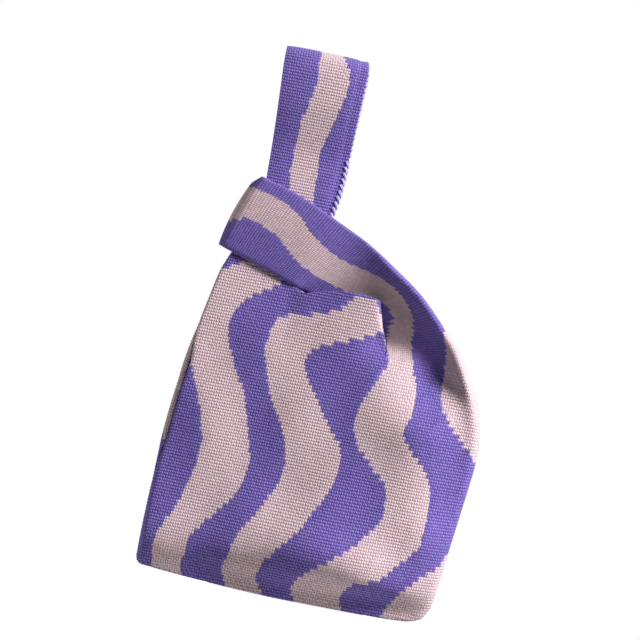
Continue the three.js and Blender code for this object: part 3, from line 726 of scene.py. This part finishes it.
def panel_grid(flange):
    """The panel's fabric: points of its outer face seen from the front, faces, half-step counts and places
    on the flat. flange is 1 for the back panel, whose left edge wraps round to the front, else 0."""
    stretches = edge_stretches(flange)
    i = np.arange(math.floor((GRID_LEFT - PLEAT) / STEP_X), math.ceil((GRID_RIGHT - PLEAT) / STEP_X) + 1)
    j = np.arange(math.floor((GRID_BOTTOM - CUT) / STEP_Z), math.ceil((ROOT_TOP - CUT) / STEP_Z) + 1)
    steps_i, steps_j = (grid.ravel() for grid in np.meshgrid(i, j))
    flat = np.stack([PLEAT + steps_i * STEP_X, CUT + steps_j * STEP_Z], axis=1)
    foot, inward, reach, drop = nearest_edge(stretches, flat, panel_height)
    outline = np.concatenate([line for line, unused_reach, unused_drop in stretches])
    depth_in = np.linalg.norm(flat - foot, axis=1) * np.where(inside(outline, flat), 1, -1)
    length = np.maximum(np.pi / 2 * np.sqrt((reach ** 2 + drop ** 2) / 2), 1e-6)
    beside_left = (foot[:, 0] < LEFT_EDGE_X) & (foot[:, 1] > LEFT_EDGE_FOOT)
    wrap_share = np.clip((back_flange(foot[:, 1]) - WRAP_GAP) / WRAP_RADIUS, 0, 1)
    margin = np.where(beside_left, flange * WRAP_RADIUS * np.arccos(1 - wrap_share), 0)
    fabric_in = depth_in + length - reach
    quads = quads_of(len(i), len(j))
    middles = flat[quads].mean(1)
    below = ((middles[:, 0] < PLEAT) | (middles[:, 1] < CUT)) & (middles[:, 1] < ROOT_TOP)
    quads = quads[((fabric_in + margin)[quads].mean(1) > 0) & below]
    on_border = np.unique(border_edges(quads))
    on_cut = (np.abs(flat[:, 1] - CUT) < NEAR) & (flat[:, 0] > PLEAT - NEAR)
    on_root = flat[:, 1] > ROOT_TOP - NEAR
    loose = on_border[~on_cut[on_border] & ~on_root[on_border]]
    fabric_in[loose] = -margin[loose]
    turn = np.clip(fabric_in / length, 0, 1) * np.pi / 2
    rolled = fabric_in < length
    bend = np.maximum(-fabric_in, 0) / WRAP_RADIUS * rolled
    bend = np.minimum(bend, np.pi / 2)
    inset = np.where(rolled, reach * (1 - np.cos(turn)) + WRAP_RADIUS * (1 - np.cos(bend)), depth_in)
    plan = np.where(rolled[:, None], foot + inward * inset[:, None], flat)
    height = panel_height(plan[:, 0], plan[:, 1])
    lowered = np.where(rolled, drop * (1 - np.sin(turn)), 0)
    beside_right = (foot[:, 0] > RIGHT_EDGE_X) & (foot[:, 1] < RIGHT_EDGE_TOP)
    rim = np.where(beside_right, right_rim(foot[:, 1]) * rim_shape(inset), 0)
    depth = np.maximum(height - lowered + rim, SEAM_DEPTH) - WRAP_RADIUS * np.sin(bend)
    points = np.stack([plan[:, 0], -depth, plan[:, 1]], axis=1)
    used, numbers = np.unique(quads, return_inverse=True)
    return points[used], numbers.reshape(quads.shape), (steps_i[used], steps_j[used]), flat[used]


def front_panel():
    """Front panel. Gives the row of points that the short handle starts from."""
    points, quads, steps, flat = panel_grid(0)
    stripes = stripe_depth(PINK_PANEL, flat)
    piece = knit_piece("front_panel_knit", points, quads, steps, stripes, KNIT, stitch_relief(*steps))
    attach(piece, "bag")
    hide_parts("front_panel")
    steps_i, steps_j = steps
    base = np.flatnonzero((steps_j == 0) & (steps_i >= 0))
    base = base[np.argsort(steps_i[base])]
    return points[base]


def back_panel():
    """Back panel: the front one mirrored, with a margin that wraps round the left edge."""
    points, quads, steps, flat = panel_grid(1)
    stripes = stripe_depth(PINK_PANEL + [BACK_MARGIN_PINK], flat)
    relief = stitch_relief(*steps)
    mirrored = points * np.array([1, -1, 1])
    piece = knit_piece("back_panel_knit", mirrored, quads[:, ::-1], steps, stripes, KNIT, relief)
    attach(piece, "bag")
    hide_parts("back_panel")


# Short handle

# Along the short handle: height beside its inner edge, how far the edge itself lies off that, height of
# its outer edge, bulge of its middle and rise of its outer rim
strap_low_height = smooth_value([
    (0, 3), (0.12, 2.8), (0.3, 2.9), (0.45, 3.7), (0.62, 5.4), (0.76, 6.2), (1, 5.6),
])
strap_edge_height = smooth_value([
    (0, 0), (0.12, 0), (0.3, -0.2), (0.45, -0.9), (0.54, -1.5), (0.58, -0.8), (0.62, 0.5), (0.68, 0.2),
    (0.76, 0), (1, 0),
])
strap_outer_height = smooth_value([
    (0, 8.4), (0.1, 14), (0.28, 19), (0.44, 17.4), (0.58, 12.4), (0.7, 10), (1, 8.8),
])
strap_crown = smooth_value([(0, 0), (0.4, 0), (0.55, 1), (0.7, 1.8), (1, 1.4)])
strap_rim = smooth_value([(0, 5), (0.1, 4), (0.28, 3), (0.42, 2), (0.52, 0.6), (0.6, 0), (1, 0)])
STRAP_WIDTH = 58
STRAP_LENGTH = 165
EDGE_BAND = 8
EDGE_POINTS = 60

# Shares of the short handle over which it leaves the body's form, starts to sag across, is straight across
# again and has its inner roll start
SETTLES = (0, 0.18)
SAGS, SAG = (0.12, 0.35), 0.7
STRAIGHTENS = (0.52, 0.7)
INNER_ROLL_STARTS = (0.06, 0.13)
INNER_REACH, INNER_DROP = 2.0, 2.2

# How far the rows lag early on, and how far their inner ends lag more and their outer ends lead
ROWS_LAG = 0.3
INNER_LAG = 0.3
OUTER_LEAD = 0.5


def strap_section(low, high, shares, fractions):
    """One row across the short handle, evenly spaced along the fabric.
    shares are how far along the handle the row is: in all, at its inner end and at its outer end."""
    share, inner_share, outer_share = shares
    width = np.linalg.norm(high - low)
    inner_band = np.linspace(0, EDGE_BAND, EDGE_POINTS)
    between = np.linspace(EDGE_BAND, width - EDGE_BAND, EDGE_POINTS)[1:-1]
    w = np.concatenate([inner_band, between, np.linspace(width - EDGE_BAND, width, EDGE_POINTS)])
    t = w / width
    plan = low + (high - low) * t[:, None]
    settled = ease(share, *SETTLES)
    straight = ease(share, *STRAIGHTENS)
    slope = t ** (1 + SAG * ease(share, *SAGS)) * (1 - straight) + t * straight
    height = strap_low_height(inner_share) * (1 - slope) + strap_outer_height(outer_share) * slope
    height = height + strap_edge_height(inner_share) * (1 - t) ** 4
    height = height + strap_crown(share) * (1 - (2 * t - 1) ** 2)
    height = height * settled + body_height(plan[:, 0], plan[:, 1]) * (1 - settled)
    height = height + strap_rim(outer_share) * rim_shape(width - w)
    outer_reach = SIDE_REACH - 2 * ease(outer_share, 0, 0.2) - 1.4 * ease(outer_share, 0.42, 0.6)
    outer_drop = (height[-1] - SEAM_DEPTH) * (1 - 0.55 * ease(outer_share, 0.3, 0.7))
    inner_roll = ease(inner_share, *INNER_ROLL_STARTS)
    inner_reach = INNER_REACH * inner_roll
    inner_drop = INNER_DROP * inner_roll
    outer_in = np.clip((width - w) / outer_reach, 0, 1)
    height = height - outer_drop * (1 - np.sqrt(1 - (1 - outer_in) ** 2))
    inner_in = np.clip(w / max(inner_reach, 0.01), 0, 1)
    height = height - inner_drop * (1 - np.sqrt(1 - (1 - inner_in) ** 2))
    line = np.stack([plan[:, 0], -np.maximum(height, SEAM_DEPTH), plan[:, 1]], axis=1)
    return along(line, fractions)


def short_handle(base):
    """Band from the front shoulder over the long handle's root, round its turn and back down behind.
    Gives the last row before the turn, the turn's plan direction and how far it reaches."""
    columns = 2 * round(STRAP_WIDTH / STRAP_STITCH) + 1
    fractions = np.linspace(0, 1, columns)
    base = along(base, fractions)
    inner, outer = smooth_line(STRAP_INNER), smooth_line(STRAP_OUTER)
    rows = 2 * round(STRAP_LENGTH / STRAP_ROW)
    shares = np.arange(rows + 1) / rows
    early = shares * (1 - shares) ** 2
    shares = shares - ROWS_LAG * early
    inner_shares, outer_shares = shares - INNER_LAG * early, shares + OUTER_LEAD * early
    lows, highs = along(inner, inner_shares), along(outer, outer_shares)
    paces = np.stack([shares, inner_shares, outer_shares], axis=1)
    front = np.array([strap_section(lows[k], highs[k], paces[k], fractions) for k in range(rows + 1)])
    front = front + (base - front[0]) * (1 - ease(shares, 0, 0.1))[:, None, None]
    end = front[-1]
    fold = end[-1, [0, 2]] - end[0, [0, 2]]
    fold = fold / np.linalg.norm(fold)
    outward = np.array([-fold[1], fold[0]])
    reach = TURN_REACH + TURN_BULGE * 4 * fractions * (1 - fractions)
    reach = reach * (1 - TURN_TAPER * ease(fractions, 0.8, 1))
    turn_rows = 2 * round(TURN_LENGTH / STRAP_ROW)
    turn = []
    for k in range(1, turn_rows):
        angle = np.pi * k / turn_rows
        plan = end[:, [0, 2]] + outward * (reach * math.sin(angle))[:, None]
        turn.append(np.stack([plan[:, 0], end[:, 1] * math.cos(angle), plan[:, 1]], axis=1))
    back = front[::-1] * np.array([1, -1, 1])
    grid = np.concatenate([front, np.array(turn), back])
    points, quads, steps = band_grid(grid)
    stripes = stripe_depth(PINK_STRAP, points[:, [0, 2]])
    rows_run = np.gradient(grid[:, :, [0, 2]], axis=0).reshape(-1, 2)
    rows_run = rows_run / np.maximum(np.linalg.norm(rows_run, axis=1), 0.2)[:, None]
    relief = rib_relief(steps[1])
    piece = knit_piece("short_handle", points, quads, steps, stripes, STRAP_KNIT, relief, rows_run)
    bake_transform(piece)
    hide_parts("short_handle_front", "short_handle_back")
    return end, outward, reach


# Long handle

HANDLE_WIDTH = 54
HANDLE_CROWN = 0.9
GROOVE_DEPTH, GROOVE_AT, GROOVE_WIDTH = 0.4, 0.91, 0.025


def handle_frame():
    """Rows of the long handle from the front root to the back root: depth and height, left and right edge,
    and the directions along the handle and outwards."""
    half = smooth_line(HANDLE_PATH, 0.6)
    whole = np.concatenate([half, half[-2::-1] * np.array([-1, 1])])
    length = np.linalg.norm(np.diff(whole, axis=0), axis=1).sum()
    rows = 2 * round(length / STEP_Z / 2)
    path = along(whole, np.arange(rows + 1) / rows)
    left = smooth_value(HANDLE_LEFT)(path[:, 1])
    right = np.where(path[:, 0] > 0, smooth_value(HANDLE_RIGHT_FRONT)(path[:, 1]),
                     smooth_value(HANDLE_RIGHT_BACK)(path[:, 1]))
    ahead = unit(np.gradient(path, axis=0))
    outward = np.stack([ahead[:, 1], -ahead[:, 0]], axis=1)
    return path, left, right, ahead, outward


def long_handle():
    """Band over the carried arch, a little crowned, with a groove beside its overcast edge."""
    path, left, right, unused, outward = handle_frame()
    columns = 2 * round(HANDLE_WIDTH / STITCH) + 1
    share = np.linspace(0, 1, columns)
    groove = GROOVE_DEPTH * np.exp(-((share - GROOVE_AT) / GROOVE_WIDTH) ** 2)
    crown = HANDLE_CROWN * (1 - np.abs(2 * share - 1) ** 4) - HANDLE_CROWN - groove
    x = left[:, None] + (right - left)[:, None] * share
    depth = path[:, 0, None] + outward[:, 0, None] * crown
    height = path[:, 1, None] + outward[:, 1, None] * crown
    points, quads, steps = band_grid(np.stack([x, -depth, height], axis=2))
    stripes = stripe_depth(PINK_HANDLE, points[:, [0, 2]])
    piece = knit_piece("long_handle", points, quads, steps, stripes, HANDLE_KNIT, stitch_relief(*steps))
    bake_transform(piece)
    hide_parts("long_handle_grip", "long_handle_front_leg", "long_handle_back_leg")


# Threads

# A direction that no thread runs along
GUIDE = np.array([0.31, 0.17, 0.93])

# Overcast: half steps from loop to loop and from the handle's ends, how far in from the edge a loop turns,
# its reach, swing, slant and half thickness, and the angles that it spans, fewer where the handle stands out
OVERCAST_PITCH, OVERCAST_START = 4, 8
OVERCAST_INSET = 1.0
OVERCAST_REACH, OVERCAST_SWING, OVERCAST_SLANT = 1.3, 1.35, 1.6
OVERCAST_RADIUS = 0.95
WHOLE_LOOP = np.linspace(-2.0, 2.0, 9)
INNER_LOOP = np.linspace(-2.3, -0.3, 9)
INNER_LOOP_FROM = 4

# Seams: spacing, width and half thickness of their stitches, and how far inside the edge they lie
SEAM_PITCH = 3.2
SEAM_WIDTH = 3.2
SEAM_RADIUS = 0.45
SEAM_TUCK = 1.1
BODY_MIDDLE = np.array([46, -260])
LOOP_SEAM_SHARES = np.linspace(0.06, 0.8, 14)
LOOP_SEAM_GAP = 0.2


def tube(path, radius, sides=6):
    """Points and faces of a round thread along a path, closed at both ends."""
    path = np.asarray(path, float)
    ahead = unit(np.gradient(path, axis=0))
    first = unit(np.cross(ahead, GUIDE))
    second = np.cross(ahead, first)
    angles = (2 * np.pi * np.arange(sides) / sides)[:, None]
    rings = path[:, None] + radius * (np.cos(angles) * first[:, None] + np.sin(angles) * second[:, None])
    faces = []
    for k in range(len(path) - 1):
        for s in range(sides):
            a, b = k * sides + s, k * sides + (s + 1) % sides
            faces.append((a, b, b + sides, a + sides))
    faces.append(tuple(range(sides))[::-1])
    faces.append(tuple((len(path) - 1) * sides + s for s in range(sides)))
    return rings.reshape(-1, 3), faces


def thread_piece(name, paths, radius, material):
    """Many short threads as one piece."""
    points, faces = [], []
    for path in paths:
        start = sum(len(part) for part in points)
        ring_points, ring_faces = tube(path, radius)
        points.append(ring_points)
        faces += [tuple(corner + start for corner in face) for face in ring_faces]
    mesh = bpy.data.meshes.new(name)
    mesh.from_pydata((np.concatenate(points) * MM).tolist(), [], faces)
    mesh.materials.append(material)
    piece = add_piece(name, mesh, angle=60)
    bpy.ops.object.mode_set(mode="EDIT")
    bpy.ops.mesh.select_all(action="SELECT")
    bpy.ops.mesh.normals_make_consistent(inside=False)
    bpy.ops.object.mode_set(mode="OBJECT")
    return piece


def handle_overcast():
    """Overcast loops round the long handle's edge on the neckline side."""
    path, unused, right, ahead, outward = handle_frame()
    loops = []
    for k in range(OVERCAST_START, len(path) - OVERCAST_START, OVERCAST_PITCH):
        middle = path[k] - outward[k] * (HANDLE_CROWN + FABRIC / 2)
        angles = WHOLE_LOOP if path[k, 0] < INNER_LOOP_FROM else INNER_LOOP
        reach = right[k] - OVERCAST_INSET + OVERCAST_REACH * np.cos(angles)
        swing = OVERCAST_SWING * np.sin(angles)
        slant = OVERCAST_SLANT * angles
        line = middle + outward[k] * swing[:, None] + ahead[k] * slant[:, None]
        loops.append(np.stack([reach, -line[:, 0], line[:, 1]], axis=1))
    piece = thread_piece("long_handle_overcast", loops, OVERCAST_RADIUS, EDGE_YARN)
    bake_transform(piece)
    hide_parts("grip_edge_seam", "front_leg_edge_seam", "back_leg_edge_seam", "front_root_edge_seam",
                "back_root_edge_seam")


def joining_stitches(name, line, node):
    """Small slanted stitches that close the front panel's edge to the back panel's."""
    length = np.linalg.norm(np.diff(line, axis=0), axis=1).sum()
    count = int(length / SEAM_PITCH)
    starts = along(line, np.arange(count) / count)
    ends = along(line, (np.arange(count) + 0.5) / count)
    t = np.linspace(0, 1, 6)[:, None]
    paths = []
    for start, end in zip(starts, ends):
        plan = start + (end - start) * t
        paths.append(np.stack([plan[:, 0], SEAM_WIDTH * (t[:, 0] - 0.5), plan[:, 1]], axis=1))
    piece = thread_piece(name, paths, SEAM_RADIUS, SEAM_YARN)
    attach(piece, "bag")
    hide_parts(node)


def tucked(points):
    """The part of an edge below the cut, moved just inside the fabric."""
    line = smooth_line([point for point in points if point[1] <= CUT])
    return line - SEAM_TUCK * unit(line - BODY_MIDDLE)


def seams(end, outward, reach):
    """Stitches of the body's three seams, and of the seam in the short handle's turn."""
    joining_stitches("left_side_seam_stitches", tucked(LEFT), "left_side_seam")
    joining_stitches("bottom_seam_stitches", tucked(BOTTOM), "bottom_seam")
    joining_stitches("right_side_seam_stitches", tucked(RIGHT), "right_side_seam")
    along_end = np.linspace(0, 1, len(end))
    places = np.stack([np.interp(LOOP_SEAM_SHARES, along_end, end[:, k]) for k in (0, 2)], axis=1)
    reaches = np.interp(LOOP_SEAM_SHARES, along_end, reach)
    paths = []
    for place, stretch in zip(places, reaches):
        t = np.linspace(-0.5, 0.5, 5)
        plan = place + outward * (stretch - FABRIC - LOOP_SEAM_GAP)
        paths.append(np.stack([plan[0] + 0 * t, 3.0 * t, plan[1] + 1.2 * t], axis=1))
    piece = thread_piece("short_handle_loop_stitches", paths, SEAM_RADIUS, SEAM_YARN)
    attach(piece, "short_loop")
    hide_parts("short_handle_loop_seam")


# Lining

LINING_BOTTOM, LINING_TOP = -334, -193
LINING_LEFT_GAP, LINING_RIGHT_GAP = 7, 8
LINING_INSET = 6.0
LINING_SEAM = 0.7
LINING_CLOTH = 0.8
PUCKER_RISE, PUCKER_SPACING = 0.35, 6.5
HEM_DEPTH, HEM_AT, HEM_WIDTH = 0.6, -198, 2.0


def lining(name, side):
    """Half of the lining pouch, hemmed at the top. side is 1 at the front and -1 at the back."""
    columns, rows = 64, 48
    heights = np.linspace(LINING_BOTTOM, LINING_TOP, rows)
    across = 0.5 - 0.5 * np.cos(np.pi * np.linspace(0, 1, columns))
    left, right = left_of(heights) + LINING_LEFT_GAP, right_of(heights) - LINING_RIGHT_GAP
    x = left[:, None] + (right - left)[:, None] * across
    z = np.broadcast_to(heights[:, None], x.shape)
    closing = np.sqrt(np.clip(1 - np.abs(2 * across - 1) ** 3, 0, 1)) * ease(heights, -336, -312)[:, None]
    pucker = PUCKER_RISE * np.sin(x / PUCKER_SPACING) * ease(heights, -240, -194)[:, None]
    depth = LINING_SEAM + np.maximum(panel_height(x, z) - LINING_INSET + pucker, 0.2) * closing
    hem = HEM_DEPTH * np.exp(-((heights - HEM_AT) / HEM_WIDTH) ** 2)[:, None]
    points = np.stack([x, -side * (depth - hem), z], axis=2).reshape(-1, 3)
    quads = quads_of(columns, rows)
    if side < 0:
        quads = quads[:, ::-1]
    mesh = bpy.data.meshes.new(name + "_cloth")
    mesh.from_pydata((points * MM).tolist(), [], quads.tolist())
    mesh.materials.append(LINING)
    piece = add_piece(name + "_cloth", mesh, angle=60)
    thick = piece.modifiers.new("cloth", "SOLIDIFY")
    thick.thickness = LINING_CLOTH * MM
    thick.offset = -1
    bpy.ops.object.modifier_apply(modifier=thick.name)
    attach(piece, "bag")
    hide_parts(name)


# Studio

CAMERA_ROLL = math.radians(12)
CAMERA_AIM = (0.0295, 0.0, -0.166)
CAMERA_DISTANCE = 0.975
LENS = 85
SENSOR = 36
FLOOR = -0.95
AMBIENT = 0.07


def camera():
    """Looks level at the bag from the front, rolled so that the bag hangs aslant in the picture."""
    data = bpy.data.cameras.new("camera")
    data.lens = LENS
    data.sensor_width = SENSOR
    data.clip_end = 50
    eye = add_object("camera", data)
    c, s = math.cos(CAMERA_ROLL), math.sin(CAMERA_ROLL)
    eye.matrix_world = Matrix((
        (c, -s, 0, CAMERA_AIM[0]),
        (0, 0, -1, CAMERA_AIM[1] - CAMERA_DISTANCE),
        (s, c, 0, CAMERA_AIM[2]),
        (0, 0, 0, 1),
    ))
    bpy.context.scene.camera = eye


def lamp(name, place, size, power):
    """Square soft lamp that faces the middle of the bag."""
    data = bpy.data.lights.new(name, "AREA")
    data.size = size
    data.energy = power
    light = add_object(name, data)
    light.rotation_euler = (Vector(CAMERA_AIM) - Vector(place)).to_track_quat("-Z", "Y").to_euler()
    light.location = place


def where_seen(wire):
    """1 for what the camera sees directly, in reflections or through glass, else 0."""
    seen, glossy, through = (wire.node("ShaderNodeLightPath", {}, {}, ray)
                             for ray in ("Is Camera Ray", "Is Glossy Ray", "Is Transmission Ray"))
    return (seen + glossy + through).limited()


def studio():
    """Lamps, a white ground that lights the bag only faintly, and a floor far below."""
    lamp("key", (1.35, -0.75, 0.85), 0.55, 68)
    lamp("fill", (-1.6, 0.2, -0.1), 0.5, 11)
    lamp("behind", (0.2, 1.4, 0.3), 1.4, 8)
    world = bpy.data.worlds.new("studio")
    world.use_nodes = True
    bpy.context.scene.world = world
    background = world.node_tree.nodes["Background"]
    wire = Wire(world.node_tree, background.outputs[0])
    strength = where_seen(wire) * (1 - AMBIENT) + AMBIENT
    wire.tree.links.new(strength.socket, background.inputs["Strength"])
    background.inputs["Color"].default_value = (1, 1, 1, 1)
    bpy.ops.object.select_all(action="DESELECT")
    bpy.ops.mesh.primitive_circle_add(vertices=96, radius=0.8, fill_type="NGON", location=(0, 0, FLOOR))
    floor = bpy.context.active_object
    floor.name = "floor"
    material, shader, wire = new_material("pale_floor", {"Base Color": (0.9, 0.9, 0.9, 1), "Roughness": 0.9})
    floor.data.materials.append(material)
    bpy.context.scene.view_settings.view_transform = "Standard"


camera()
base_row = front_panel()
back_panel()
turn_end, turn_outward, turn_reach = short_handle(base_row)
long_handle()
handle_overcast()
seams(turn_end, turn_outward, turn_reach)
lining("front_lining", 1)
lining("back_lining", -1)
studio()
